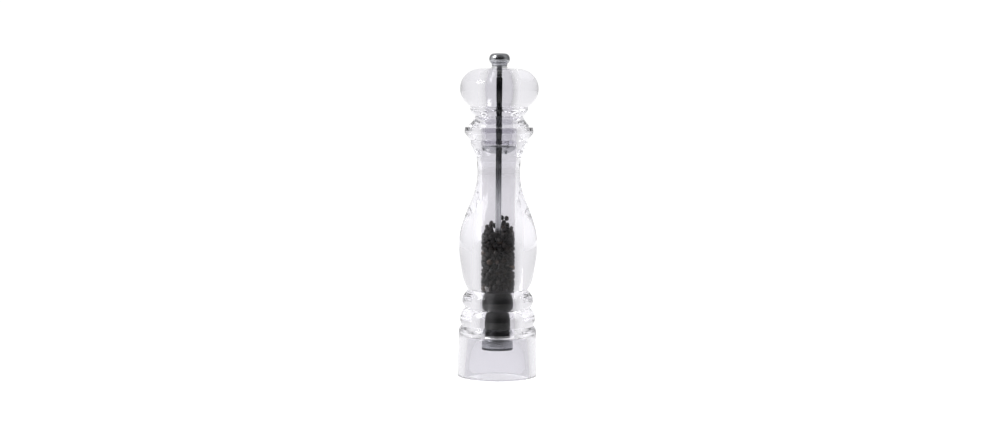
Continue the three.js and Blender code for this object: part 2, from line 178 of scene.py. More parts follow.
def turned(name, outline, sides=METAL_SIDES, smooth_degrees=35):
    """A turning: one corner of a plane is drawn out along the outline, then spun round Z."""
    deselect_all()
    first = outline[0]
    bpy.ops.mesh.primitive_plane_add(size=1 * MM, enter_editmode=True)
    piece = name_piece(name)
    bpy.ops.mesh.select_all(action="SELECT")
    bpy.ops.mesh.merge(type="CENTER")
    bpy.ops.transform.translate(value=(first[0] * MM, 0, first[1] * MM))
    last = first
    for radius, height in outline[1:]:
        step = ((radius - last[0]) * MM, 0, (height - last[1]) * MM)
        bpy.ops.mesh.extrude_region_move(TRANSFORM_OT_translate={"value": step})
        last = (radius, height)
    bpy.ops.mesh.select_all(action="SELECT")
    bpy.ops.mesh.spin(steps=sides, angle=FULL_TURN, center=(0, 0, 0), axis=(0, 0, 1))
    bpy.ops.mesh.select_all(action="SELECT")
    bpy.ops.mesh.remove_doubles(threshold=0.004 * MM)
    bpy.ops.mesh.select_all(action="SELECT")
    bpy.ops.mesh.normals_make_consistent(inside=False)
    bpy.ops.object.mode_set(mode="OBJECT")
    settle(piece)
    soften(piece, smooth_degrees)
    return piece


def cut_away(piece, cutters):
    for cutter in cutters:
        make_active(piece)
        cut = piece.modifiers.new("cut", "BOOLEAN")
        cut.operation = "DIFFERENCE"
        cut.solver = "EXACT"
        cut.object = cutter
        bpy.ops.object.modifier_apply(modifier=cut.name)
        bpy.data.objects.remove(cutter, do_unlink=True)
    make_active(piece)
    bpy.ops.object.mode_set(mode="EDIT")
    bpy.ops.mesh.select_all(action="SELECT")
    bpy.ops.mesh.remove_doubles(threshold=0.002 * MM)
    bpy.ops.object.mode_set(mode="OBJECT")


def drill(radius, bottom, top, x, y):
    deselect_all()
    bpy.ops.mesh.primitive_cylinder_add(
        vertices=SMALL_SIDES, radius=radius * MM, depth=(top - bottom) * MM,
        location=(x * MM, y * MM, (top + bottom) / 2 * MM),
    )
    cutter = name_piece("drill")
    settle(cutter)
    return cutter


def square_punch(side, bottom, top):
    deselect_all()
    bpy.ops.mesh.primitive_cube_add(size=1, location=(0, 0, (top + bottom) / 2 * MM))
    punch = name_piece("punch")
    punch.scale = (side * MM, side * MM, (top - bottom) * MM)
    settle(punch)
    return punch


def bevelled(piece, width, segments):
    make_active(piece)
    bevel = piece.modifiers.new("edge", "BEVEL")
    bevel.width = width * MM
    bevel.segments = segments
    bevel.limit_method = "ANGLE"
    bevel.angle_limit = math.radians(30)
    bpy.ops.object.modifier_apply(modifier=bevel.name)


def at_angle(distance, angle):
    return distance * math.cos(angle), distance * math.sin(angle)


def third_angles():
    return [THIRD_TURN / 2 + index * THIRD_TURN for index in range(3)]


def clone(piece, name):
    copy = piece.copy()
    copy.data = piece.data.copy()
    copy.name = name
    copy.data.name = name
    bpy.context.collection.objects.link(copy)
    return copy


# ---- Materials ----

def colour(text):
    """An sRGB hex value as linear colour."""
    parts = [int(text[index:index + 2], 16) / 255 for index in (1, 3, 5)]
    linear = [part / 12.92 if part <= 0.04045 else ((part + 0.055) / 1.055) ** 2.4 for part in parts]
    return (*linear, 1.0)


def start_material(name):
    material = bpy.data.materials.new(name)
    material.use_nodes = True
    return material, material.node_tree, material.node_tree.nodes["Principled BSDF"]


def add(tree, kind, settings=None, **links):
    """Adds a node, sets its properties and values, and links what comes from other nodes."""
    node = tree.nodes.new(kind)
    for key, value in (settings or {}).items():
        if isinstance(key, int) or key in node.inputs:
            node.inputs[key].default_value = value
        else:
            setattr(node, key, value)
    for key, source in links.items():
        target = node.inputs[int(key[1:])] if key[0] == "_" and key[1:].isdigit() else node.inputs[key]
        tree.links.new(source, target)
    return node


def ramp(tree, source, stops):
    node = tree.nodes.new("ShaderNodeValToRGB")
    tree.links.new(source, node.inputs[0])
    elements = node.color_ramp.elements
    while len(elements) < len(stops):
        elements.new(0.5)
    for element, (place, value) in zip(elements, stops):
        element.position = place
        element.color = colour(value) if isinstance(value, str) else (value, value, value, 1)
    return node


def cast_acrylic():
    """Turned and flame-polished cast acrylic: clear, with faint lathe rings and a slightly hazy bore."""
    material, tree, shader = start_material("polished_cast_acrylic")
    place = add(tree, "ShaderNodeTexCoord").outputs["Object"]
    split = add(tree, "ShaderNodeSeparateXYZ", Vector=place)
    x, y, z = split.outputs
    across = add(tree, "ShaderNodeMath", {"operation": "MULTIPLY"}, _0=x, _1=x)
    along = add(tree, "ShaderNodeMath", {"operation": "MULTIPLY"}, _0=y, _1=y)
    square = add(tree, "ShaderNodeMath", {"operation": "ADD"}, _0=across.outputs[0], _1=along.outputs[0])
    radius = add(tree, "ShaderNodeMath", {"operation": "SQRT"}, _0=square.outputs[0])
    bore_wall, bore_air = 12.3, 12.0
    inside = add(
        tree, "ShaderNodeMapRange",
        {"From Min": bore_wall * MM, "From Max": bore_air * MM, "To Min": 0.0, "To Max": 1.0},
        Value=radius.outputs[0],
    )
    # Wipe marks and handling are some 3 mm wide.
    wipes = add(tree, "ShaderNodeTexNoise", {"Scale": 1 / (6 * MM), "Detail": 4.0}, Vector=place)
    polish = ramp(tree, wipes.outputs[0], [(0.42, 0.004), (0.7, 0.022)])
    haze = add(
        tree, "ShaderNodeMath", {"operation": "MULTIPLY_ADD", 1: 0.05},
        _0=inside.outputs[0], _2=polish.outputs[0],
    )
    tree.links.new(haze.outputs[0], shader.inputs["Roughness"])
    # Lathe rings are about 0.8 mm apart and barely felt.
    rings = add(
        tree, "ShaderNodeTexNoise", {"Scale": 1 / (1.6 * MM), "Detail": 2.0, "noise_dimensions": "1D"}, W=z,
    )
    bump = add(tree, "ShaderNodeBump", {"Strength": 0.03, "Distance": 0.05 * MM}, Height=rings.outputs[0])
    tree.links.new(bump.outputs[0], shader.inputs["Normal"])
    # Pepper dust, in specks of some 0.5 mm, clings to the chamber wall below the socket.
    dust_starts, dust_full = 148, 138
    low = add(
        tree, "ShaderNodeMapRange",
        {"From Min": dust_starts * MM, "From Max": dust_full * MM, "To Min": 0.0, "To Max": 1.0}, Value=z,
    )
    specks = add(tree, "ShaderNodeTexNoise", {"Scale": 1 / (0.9 * MM), "Detail": 6.0}, Vector=place)
    patches = ramp(tree, specks.outputs[0], [(0.35, 0.15), (0.75, 0.9)])
    wall = add(tree, "ShaderNodeMath", {"operation": "MULTIPLY"}, _0=inside.outputs[0], _1=low.outputs[0])
    dusty = add(
        tree, "ShaderNodeMath", {"operation": "MULTIPLY"}, _0=wall.outputs[0], _1=patches.outputs[0],
    )
    tint = add(
        tree, "ShaderNodeMix", {"data_type": "RGBA", 6: colour("#e2e1e5"), 7: colour("#d5d3d4")},
        _0=dusty.outputs[0],
    )
    tree.links.new(tint.outputs[2], shader.inputs["Base Color"])
    shader.inputs["Transmission Weight"].default_value = 1.0
    shader.inputs["IOR"].default_value = 1.49
    # Face on, the mirror of the skin is held to under half, so that the pepper behind it stays dark.
    shader.inputs["Specular Tint"].default_value = colour("#aaaaaa")
    return material


def steel(name, light, dark, smooth_value, rough_value, stretch, grain, bump_strength):
    """A steel finish: two greys in a grain given in mm, drawn out or packed along each axis."""
    material, tree, shader = start_material(name)
    place = add(tree, "ShaderNodeTexCoord").outputs["Object"]
    turn = add(tree, "ShaderNodeMapping", {"Scale": stretch}, Vector=place).outputs[0]
    lines = add(tree, "ShaderNodeTexNoise", {"Scale": 1 / (grain * MM), "Detail": 5.0}, Vector=turn)
    tint = ramp(tree, lines.outputs[0], [(0.3, dark), (0.7, light)])
    gloss = ramp(tree, lines.outputs[0], [(0.3, smooth_value), (0.75, rough_value)])
    bump = add(
        tree, "ShaderNodeBump", {"Strength": bump_strength, "Distance": 0.05 * MM}, Height=lines.outputs[0],
    )
    tree.links.new(tint.outputs[0], shader.inputs["Base Color"])
    tree.links.new(gloss.outputs[0], shader.inputs["Roughness"])
    tree.links.new(bump.outputs[0], shader.inputs["Normal"])
    shader.inputs["Metallic"].default_value = 1.0
    return material


def polished_steel():
    """Turned and polished steel: nearly mirror bright, with faint rings from the lathe."""
    return steel(
        "polished_turned_steel", "#b9babd", "#8f9195", 0.16, 0.3,
        stretch=(0.3, 0.3, 3.0), grain=1.2, bump_strength=0.05,
    )


def drawn_rod():
    """Cold-drawn square rod: die lines run along it; a painted reflection makes it dark above and bright
    below.
    """
    material, tree, shader = start_material("cold_drawn_steel_rod")
    place = add(tree, "ShaderNodeTexCoord").outputs["Object"]
    split = add(tree, "ShaderNodeSeparateXYZ", Vector=place)
    turn = add(tree, "ShaderNodeMapping", {"Scale": (3.0, 3.0, 0.05)}, Vector=place).outputs[0]
    # Die lines are some 0.3 mm apart, and each runs on for over 10 mm.
    lines = add(tree, "ShaderNodeTexNoise", {"Scale": 1 / (0.8 * MM), "Detail": 5.0}, Vector=turn)
    # Painted reflection: the rod's colour fades from dark grey above to bright grey below.
    dark_reflection_down_to, bright_reflection_below = 150, 112
    painted_reflection_mask = add(
        tree, "ShaderNodeMapRange",
        {"From Min": dark_reflection_down_to * MM, "From Max": bright_reflection_below * MM, "To Min": 0.0, "To Max": 1.0},
        Value=split.outputs["Z"],
    )
    dark = ramp(tree, lines.outputs[0], [(0.3, "#202124"), (0.7, "#55575b")])
    light = ramp(tree, lines.outputs[0], [(0.3, "#a9abae"), (0.7, "#dcddde")])
    tint = add(
        tree, "ShaderNodeMix", {"data_type": "RGBA"},
        _0=painted_reflection_mask.outputs[0], _6=dark.outputs[0], _7=light.outputs[0],
    )
    gloss = ramp(tree, lines.outputs[0], [(0.3, 0.2), (0.75, 0.34)])
    bump = add(tree, "ShaderNodeBump", {"Strength": 0.12, "Distance": 0.05 * MM}, Height=lines.outputs[0])
    tree.links.new(tint.outputs[2], shader.inputs["Base Color"])
    tree.links.new(gloss.outputs[0], shader.inputs["Roughness"])
    tree.links.new(bump.outputs[0], shader.inputs["Normal"])
    shader.inputs["Metallic"].default_value = 1.0
    return material


def burr_steel():
    """Case-hardened burr steel: dark grey and slightly mottled."""
    return steel(
        "hardened_burr_steel", "#77797c", "#3f4144", 0.36, 0.55,
        stretch=(1.0, 1.0, 1.0), grain=0.7, bump_strength=0.25,
    )


def plated_steel():
    """Zinc-plated spring and screw steel: pale grey with a fine crystalline bloom."""
    return steel(
        "zinc_plated_steel", "#c6c8c9", "#8f9194", 0.22, 0.36,
        stretch=(1.0, 1.0, 1.0), grain=0.5, bump_strength=0.1,
    )


def black_acetal():
    """Moulded black acetal with a fine satin grain and a little pepper dust."""
    material, tree, shader = start_material("black_acetal")
    place = add(tree, "ShaderNodeTexCoord").outputs["Object"]
    # Smears of dust are about 1 mm wide.
    dust = add(tree, "ShaderNodeTexNoise", {"Scale": 1 / (2 * MM), "Detail": 4.0}, Vector=place)
    tint = ramp(tree, dust.outputs[0], [(0.4, "#0d0d0e"), (0.75, "#242220")])
    tree.links.new(tint.outputs[0], shader.inputs["Base Color"])
    shader.inputs["Roughness"].default_value = 0.42
    return material


def dried_pepper():
    """Dried black peppercorns: near black to dark brown wrinkled skins with paler dust in the folds."""
    material, tree, shader = start_material("dried_black_peppercorn")
    place = add(tree, "ShaderNodeTexCoord").outputs["Object"]
    tone = add(tree, "ShaderNodeAttribute", {"attribute_name": "corn_tone"})
    skin = ramp(tree, tone.outputs["Fac"], [
        (0.0, "#0e0c0b"), (0.5, "#1a1513"), (0.82, "#2a201a"), (0.94, "#4a3829"), (1.0, "#715a43"),
    ])
    # The folds of a dried skin are a little under 1 mm apart.
    folds = add(
        tree, "ShaderNodeTexVoronoi", {"Scale": 1 / (1.1 * MM), "feature": "DISTANCE_TO_EDGE"}, Vector=place,
    )
    ridge = ramp(tree, folds.outputs["Distance"], [(0.0, 0.0), (0.35, 1.0)])
    # Patches of dust are a little over 1 mm wide.
    dust = add(tree, "ShaderNodeTexNoise", {"Scale": 1 / (2.5 * MM), "Detail": 5.0}, Vector=place)
    dusty = ramp(tree, dust.outputs[0], [(0.52, 0.0), (0.78, 0.4)])
    mixed = add(
        tree, "ShaderNodeMix", {"data_type": "RGBA", 7: colour("#6b6059")},
        _0=dusty.outputs[0], _6=skin.outputs[0],
    )
    bump = add(tree, "ShaderNodeBump", {"Strength": 0.8, "Distance": 0.35 * MM}, Height=ridge.outputs[0])
    tree.links.new(mixed.outputs[2], shader.inputs["Base Color"])
    tree.links.new(bump.outputs[0], shader.inputs["Normal"])
    shader.inputs["Roughness"].default_value = 0.62
    shader.inputs["Specular IOR Level"].default_value = 0.4
    return material


# ---- Acrylic shells ----

def body_outside():
    """Foot, two rings, belly, neck, bead and collar, going up."""
    def r(part):
        return BASE_RADIUS * part

    def z(part):
        return BODY_HEIGHT * part

    neck = NECK_RADIUS
    foot = rounded((r(0.9), 0), (r(1), 0), (r(0.978), z(0.124)), 0.9)
    foot += flowing([(r(0.995), z(0.03)), (r(0.978), z(0.124)), (r(0.974), z(0.18))], 10)
    shoulder = flowing([(r(0.972), z(0.183)), (r(0.952), z(0.194)), (r(0.905), z(0.2055))], 10)
    low_ring = flowing([
        (r(0.905), z(0.2065)), (r(0.933), z(0.2195)), (r(0.938), z(0.235)),
        (r(0.915), z(0.2515)), (r(0.862), z(0.265)), (r(0.8), z(0.2725)),
    ], 26)
    high_ring = flowing([
        (r(0.8), z(0.274)), (r(0.853), z(0.284)), (r(0.887), z(0.302)),
        (r(0.866), z(0.3225)), (r(0.79), z(0.339)), (r(0.753), z(0.3485)),
    ], 26)
    belly = flowing([
        (r(0.753), z(0.3515)), (r(0.8), z(0.363)), (r(0.862), z(0.388)), (r(0.918), z(0.432)),
        (r(0.962), z(0.48)), (r(0.976), z(0.527)), (r(0.953), z(0.574)), (r(0.88), z(0.62)),
        (r(0.761), z(0.672)), (neck + 3.1, z(0.722)), (neck + 0.9, z(0.771)), (neck + 0.1, z(0.81)),
        (neck + 0.35, z(0.855)), (neck + 0.9, z(0.884)), (neck + 2.7, z(0.907)), (neck + 4.2, z(0.9255)),
    ], 120)
    bead = flowing([(neck + 4.7, z(0.931)), (neck + 5, z(0.938)), (neck + 4.9, z(0.9465))], 8)
    collar = flowing([(neck + 4.9, z(0.948)), (neck + 7.2, z(0.9625)), (neck + 8.9, z(0.977))], 10)
    collar += rounded((neck + 8.9, z(0.978)), (neck + 9.05, z(0.986)), (neck + 8.75, z(0.9965)), 0.5, 4)
    collar += rounded((neck + 8.8, z(0.993)), (neck + 8.7, z(1)), (neck + 8, z(1)), 0.4, 4)
    return foot + shoulder + low_ring + high_ring + belly + bead + collar


def body_inside():
    """Socket, pepper chamber and the hollow under the mill, going down."""
    socket_edge = (SOCKET_RADIUS, BODY_HEIGHT)
    socket_bottom = (SOCKET_RADIUS - 0.1, BODY_HEIGHT - SOCKET_DEPTH)
    chamber_top = (BORE_TOP_RADIUS, CHAMBER_TOP)
    bore_mouth = (BORE_RADIUS, SKIRT_DEPTH)
    roof = (BASE_RADIUS - SKIRT_WALL - SKIRT_DRAFT, SKIRT_DEPTH)
    rim = (BASE_RADIUS - SKIRT_WALL, 0)
    socket = rounded((SOCKET_RADIUS + 4, BODY_HEIGHT), socket_edge, (SOCKET_RADIUS, CHAMBER_TOP), 0.8)
    socket += rounded((SOCKET_RADIUS, BODY_HEIGHT - 2), socket_bottom, chamber_top, 1.5)
    socket += rounded(socket_bottom, chamber_top, bore_mouth, 1.5)
    hollow = rounded(chamber_top, bore_mouth, roof, 0.4, 3)
    hollow += rounded(bore_mouth, roof, rim, 2.6, 10)
    hollow += rounded(roof, rim, (BASE_RADIUS, 0), 0.9)
    return socket + hollow


def clear_body():
    outline = body_outside() + body_inside()
    return turned("clear_body", outline + outline[:1], SHELL_SIDES, 50)


def head_outside():
    """Tenon, foot, ring and round crown, going up."""
    height = HEAD_TOP - JOINT_TOP

    def r(part):
        return CROWN_RADIUS * part

    def z(part):
        return JOINT_TOP + height * part

    tenon_edge = (TENON_RADIUS, TENON_BOTTOM)
    tenon_root = (TENON_RADIUS, JOINT_TOP)
    foot_edge = (r(0.77), JOINT_TOP)
    tenon = rounded((TENON_RADIUS - 3, TENON_BOTTOM), tenon_edge, tenon_root, 0.5)
    tenon += rounded(tenon_edge, tenon_root, foot_edge, 0.25, 3)
    foot = rounded((r(0.7), JOINT_TOP), foot_edge, (r(0.745), z(0.04)), 0.3, 4)
    foot += flowing([
        (r(0.762), z(0.015)), (r(0.745), z(0.04)), (r(0.66), z(0.11)), (r(0.608), z(0.176)),
    ], 14)
    ring = flowing([
        (r(0.608), z(0.184)), (r(0.69), z(0.235)), (r(0.732), z(0.29)), (r(0.735), z(0.345)),
    ], 14)
    crown = flowing([
        (r(0.762), z(0.362)), (r(0.87), z(0.43)), (r(0.955), z(0.52)), (r(1), z(0.63)),
        (r(0.985), z(0.74)), (r(0.93), z(0.825)), (r(0.83), z(0.905)), (r(0.69), z(0.965)),
        (r(0.5), z(0.994)), (r(0.3), z(1)),
    ], 70)
    return tenon + foot + ring + crown


def head_inside():
    """Hole of the crown, domed cavity and bore of the tenon, going down."""
    cavity_top = HEAD_TOP - 6.4
    bore = TENON_RADIUS - TENON_WALL
    hole = 3.35
    crown_hole = rounded((8, HEAD_TOP), (hole, HEAD_TOP), (hole, cavity_top), 0.3, 4)
    crown_hole += rounded((hole, HEAD_TOP), (hole, cavity_top), (6, cavity_top), 0.2, 3)
    dome = flowing([
        (4.8, cavity_top), (bore * 0.78, cavity_top - 2.1),
        (bore * 0.96, cavity_top - 4.9), (bore, cavity_top - 7),
    ], 18)
    mouth = rounded((bore, cavity_top), (bore, TENON_BOTTOM), (bore + 3, TENON_BOTTOM), 0.4, 4)
    return crown_hole + dome + mouth


def clear_head():
    outline = head_outside() + head_inside()
    return turned("clear_head", outline + outline[:1], SHELL_SIDES, 50)


# ---- Steel ----

def adjusting_knob():
    """Barrel-shaped nut with a flat crown, a fine groove under the barrel and a flared foot."""
    def z(part):
        return KNOB_BOTTOM + (KNOB_TOP - KNOB_BOTTOM) * part

    def r(part):
        return KNOB_RADIUS * part

    hole = ROUND_HOLE
    foot = rounded((hole, KNOB_BOTTOM), (r(0.72), KNOB_BOTTOM), (r(0.74), z(0.06)), 0.3, 4)
    foot += flowing([(r(0.735), z(0.06)), (r(0.745), z(0.13)), (r(0.79), z(0.225))], 8)
    groove = [(r(0.8), z(0.24)), (r(0.79), z(0.25)), (r(0.8), z(0.262))]
    barrel = flowing([
        (r(0.845), z(0.272)), (r(0.935), z(0.36)), (r(1), z(0.53)), (r(0.975), z(0.7)),
        (r(0.87), z(0.86)), (r(0.66), z(0.96)), (r(0.3), z(0.995)), (0.02, z(1)),
    ], 44)
    inside = [(0.02, KNOB_TOP - 2.5), (hole - 0.4, KNOB_TOP - 2.6), (hole, KNOB_TOP - 3.2)]
    inside += [(hole, KNOB_BOTTOM + 0.3)]
    outline = foot + groove + barrel + inside
    return turned("adjusting_knob", outline + outline[:1])


def knob_washer():
    hole = ROUND_HOLE
    lower_edge, upper_edge = (WASHER_RADIUS, WASHER_BOTTOM), (WASHER_RADIUS, WASHER_TOP)
    outline = rounded((hole, WASHER_BOTTOM), lower_edge, upper_edge, 0.15, 3)
    outline += rounded(lower_edge, upper_edge, (hole, WASHER_TOP), 0.2, 3)
    outline += [(hole, WASHER_TOP), (hole, WASHER_BOTTOM)]
    return turned("knob_washer", outline + outline[:1], 64)


def crown_bush():
    """Flanged lining of the crown hole."""
    hole = ROUND_HOLE
    tube = BUSH_RADIUS - 1.1
    flange_top = BUSH_BOTTOM + 0.9
    outline = rounded((hole, BUSH_BOTTOM), (BUSH_RADIUS, BUSH_BOTTOM), (BUSH_RADIUS, flange_top), 0.2, 3)
    outline += rounded((BUSH_RADIUS, BUSH_BOTTOM), (BUSH_RADIUS, flange_top), (tube, flange_top), 0.2, 3)
    outline += [(tube, flange_top)]
    outline += rounded((tube, flange_top), (tube, BUSH_TOP), (hole, BUSH_TOP), 0.2, 3)
    outline += [(hole, BUSH_TOP), (hole, BUSH_BOTTOM)]
    return turned("crown_bush", outline + outline[:1], 64)


def square_rod():
    """Drive shaft: bevelled square bar, its round threaded top and its grooved round tip."""
    square_bottom = node_heights("inner_burr")[0]
    square_top = SHAFT_TOP - THREAD_LENGTH
    clip_bottom = node_heights("burr_clip")[0]
    deselect_all()
    bpy.ops.mesh.primitive_cube_add(size=1, location=(0, 0, (square_top + square_bottom) / 2 * MM))
    bar = name_piece("square_rod")
    bar.scale = (SHAFT_SIDE * MM, SHAFT_SIDE * MM, (square_top - square_bottom) * MM)
    settle(bar)
    bevelled(bar, 0.3, 3)
    pitch = THREAD_PITCH
    crest, root = THREAD_RADIUS, THREAD_RADIUS - 0.38
    turns = int((SHAFT_TOP - 0.8 - square_top) / pitch)
    ribs = [(0.02, square_top - 1), (root, square_top - 1)]
    for turn_number in range(turns):
        start = square_top + 0.3 + turn_number * pitch
        ribs += [(root, start), (crest, start + 0.28 * pitch)]
        ribs += [(crest, start + 0.4 * pitch), (root, start + 0.72 * pitch)]
    ribs += [(root, SHAFT_TOP - 0.3), (root - 0.4, SHAFT_TOP), (0.02, SHAFT_TOP)]
    thread = turned("thread", ribs, SMALL_SIDES, 30)
    groove_bottom, groove_top = clip_bottom - TOUCH_GAP, clip_bottom + 0.8
    groove_root = THREAD_RADIUS - 0.6
    tip = turned("tip", [
        (0.02, SHAFT_BOTTOM), (THREAD_RADIUS - 0.3, SHAFT_BOTTOM), (THREAD_RADIUS, SHAFT_BOTTOM + 0.3),
        (THREAD_RADIUS, groove_bottom), (groove_root, groove_bottom), (groove_root, groove_top),
        (THREAD_RADIUS, groove_top), (THREAD_RADIUS, square_bottom + 1), (0.02, square_bottom + 1),
    ], SMALL_SIDES, 30)
    make_active(bar)
    thread.select_set(True)
    tip.select_set(True)
    bpy.ops.object.join()
    soften(bar, 30)
    return bar


def burr_cup():
    """Thick steel ring that hangs in the hollow, with a fine scribed groove near its foot."""
    seat, rim = BURR_SEAT, CUP_RADIUS
    bottom, top = RING_BOTTOM, RING_TOP
    outline = rounded((seat, bottom), (rim, bottom), (rim, top), 0.12, 2)
    outline += [(rim, bottom + 1.1), (rim - 0.12, bottom + 1.25)]
    outline += [(rim - 0.12, bottom + 1.45), (rim, bottom + 1.6)]
    outline += rounded((rim, bottom + 2), (rim, top), (seat, top), 0.3, 3)
    outline += [(seat, top), (seat, bottom)]
    return turned("burr_cup", outline + outline[:1])


def grinder_housing():
    """Black funnel that hangs in the bore by its flange; two flared skirts run down to the burr seat."""
    low, high = node_heights("burr_housing")
    flange = node_radius("burr_housing")
    seat = BURR_SEAT
    seat_wall = seat + 1.2
    mouth = node_heights("outer_burr")[1] + TOUCH_GAP
    throat = seat - 3.1
    flange_bottom = high - 1.4

    def z(part):
        return mouth + (flange_bottom - mouth) * part

    outline = [(seat, low), (seat + 0.3, low)]
    outline += flowing([(seat + 0.3, low), (seat_wall - 0.1, low + 1.4), (seat_wall, low + 2.6)], 6)
    outline += flowing([
        (seat_wall, mouth), (seat_wall - 0.3, z(0.15)), (seat_wall - 1.5, z(0.33)), (throat + 1, z(0.455)),
    ], 16)
    outline += [(flange - 0.5, z(0.47)), (flange - 0.2, z(0.48))]
    outline += flowing([
        (flange - 0.15, z(0.49)), (flange - 0.2, z(0.61)), (flange - 0.9, z(0.77)),
        (flange - 2.6, z(0.91)), (flange - 4.2, flange_bottom),
    ], 20)
    outline += rounded((flange - 4, flange_bottom), (flange, flange_bottom), (flange, high), 0.3, 3)
    outline += rounded((flange, flange_bottom), (flange, high), (flange - 3, high), 0.3, 3)
    outline += [(flange - 3, high), (throat, high - 2.2), (throat, mouth + 0.8)]
    outline += [(seat - 1.2, mouth), (seat, mouth)]
    return turned("grinder_housing", outline + outline[:1])


def window_cutter(inner, outer, arm, middle, bottom, top):
    """Sector-shaped cutter that leaves arms of the given width between three windows."""
    outer_half = THIRD_TURN / 2 - math.asin(arm / 2 / outer)
    inner_half = THIRD_TURN / 2 - math.asin(arm / 2 / inner)
    steps = 14
    outline = []
    for step in range(steps + 1):
        angle = middle - outer_half + 2 * outer_half * step / steps
        outline.append(at_angle(outer, angle))
    for step in range(steps + 1):
        angle = middle + inner_half - 2 * inner_half * step / steps
        outline.append(at_angle(inner, angle))
    deselect_all()
    bpy.ops.mesh.primitive_circle_add(
        vertices=len(outline), radius=1 * MM, fill_type="NGON", location=(0, 0, bottom * MM),
    )
    cutter = name_piece("window")
    for vertex, (x, y) in zip(cutter.data.vertices, outline):
        vertex.co = (x * MM, y * MM, 0)
    settle(cutter)
    bpy.ops.object.mode_set(mode="EDIT")
    bpy.ops.mesh.select_all(action="SELECT")
    bpy.ops.mesh.extrude_region_move(TRANSFORM_OT_translate={"value": (0, 0, (top - bottom) * MM)})
    bpy.ops.mesh.select_all(action="SELECT")
    bpy.ops.mesh.normals_make_consistent(inside=False)
    bpy.ops.object.mode_set(mode="OBJECT")
    return cutter


def cup_floor():
    """Rounded three-armed plate that closes the cup."""
    screw_circle = CUP_RADIUS - 1.4
    head_seat, head_depth = 1.25, 0.85
    hub, window_edge, arm = THREAD_RADIUS + 1.7, screw_circle - 1.85, 2.4
    below, above = CUP_BOTTOM - 1, PLATE_TOP + 1
    outline = [(ROUND_HOLE, CUP_BOTTOM)]
    outline += rounded((4, CUP_BOTTOM), (CUP_RADIUS, CUP_BOTTOM), (CUP_RADIUS, above), 1.25, 8)
    outline += [(CUP_RADIUS, PLATE_TOP - 0.1), (CUP_RADIUS - 0.1, PLATE_TOP), (ROUND_HOLE, PLATE_TOP)]
    plate = turned("cup_floor", outline + outline[:1])
    cutters = []
    for angle in third_angles():
        x, y = at_angle(screw_circle, angle)
        cutters.append(drill(head_seat, below, CUP_BOTTOM + head_depth, x, y))
        cutters.append(drill(SCREW_HOLE, below, above, x, y))
        cutters.append(window_cutter(hub, window_edge, arm, angle - THIRD_TURN / 2, below, above))
    cut_away(plate, cutters)
    soften(plate, 35)
    return plate


def turning_plate():
    """Disc under the tenon with the square hole that drives the shaft."""
    radius = DRIVE_PLATE_RADIUS
    low, high = DRIVE_PLATE_BOTTOM, DRIVE_PLATE_TOP
    outline = [(0.9, low)] + rounded((1, low), (radius, low), (radius, high), 0.25, 4)
    outline += rounded((radius, low), (radius, high), (1, high), 0.25, 4) + [(0.9, high), (0.9, low)]
    plate = turned("turning_plate", outline)
    screw_circle = TENON_RADIUS - TENON_WALL / 2 - 0.1
    cutters = [square_punch(SHAFT_SIDE + 2 * TOUCH_GAP, low - 1, high + 1)]
    for angle in third_angles():
        x, y = at_angle(screw_circle, angle)
        cutters.append(drill(SCREW_HOLE, low - 1, high + 1, x, y))
    cut_away(plate, cutters)
    soften(plate, 35)
    return plate


def small_screw(name, node):
    """Slotted cheese-head screw standing where its CAD node is."""
    low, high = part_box(node)
    x, y = (low.x + high.x) / 2 / MM, (low.y + high.y) / 2 / MM
    bottom, top = low.z / MM, high.z / MM
    head, shank = 0.95, 0.45
    neck = bottom + 0.6
    outline = [(0.02, bottom)] + rounded((0.02, bottom), (head, bottom), (head, neck), 0.15, 4)
    outline += rounded((head, bottom), (head, neck), (shank, neck), 0.1, 3)
    height = bottom + 0.75
    while height < top - 0.9:
        outline += [(shank - 0.12, height), (shank, height + 0.15), (shank - 0.12, height + 0.3)]
        height += 0.35
    outline += [(shank - 0.1, top - 0.5), (0.02, top)]
    screw = turned(name, outline, 24, 30)
    deselect_all()
    bpy.ops.mesh.primitive_cube_add(size=1, location=(0, 0, bottom * MM))
    slot = name_piece("slot")
    slot_width, slot_depth = 0.3, 0.3
    slot.scale = (3 * MM, slot_width * MM, 2 * slot_depth * MM)
    settle(slot)
    cut_away(screw, [slot])
    screw.location = (x * MM, y * MM, 0)
    settle(screw)
    soften(screw, 30)
    return screw


# ---- Peppercorns ----

CORN_RADIUS = 1.8
MOST_CORNS = 900
# The lowest corns are broken ones that sift down.
BROKEN_CORNS = 120
BROKEN_SIZE = 0.55
CORN_SHAPES = 6
HEAP_EDGE = 96.5


def chamber_radius(height):
    part = (height - SKIRT_DEPTH) / (CHAMBER_TOP - SKIRT_DEPTH)
    return BORE_RADIUS + (BORE_TOP_RADIUS - BORE_RADIUS) * part


def heap_top(x, y):
    """Top of the poured heap: piled round the shaft, higher at the right, and lower in front of it."""
    crest_radius, crest_width = 5.2, 4.6
    front_rise, back_rise, right_rise = 1.5, 5.8, 2.5
    crest = math.exp(-((math.hypot(x, y) - crest_radius) / crest_width) ** 2)
    behind = min(1.0, max(0.0, (y + 5.0) / 6.0))
    right = right_rise * (0.5 + 0.5 * math.tanh(x / 3))
    return HEAP_EDGE + crest * (front_rise + (back_rise + right) * behind)


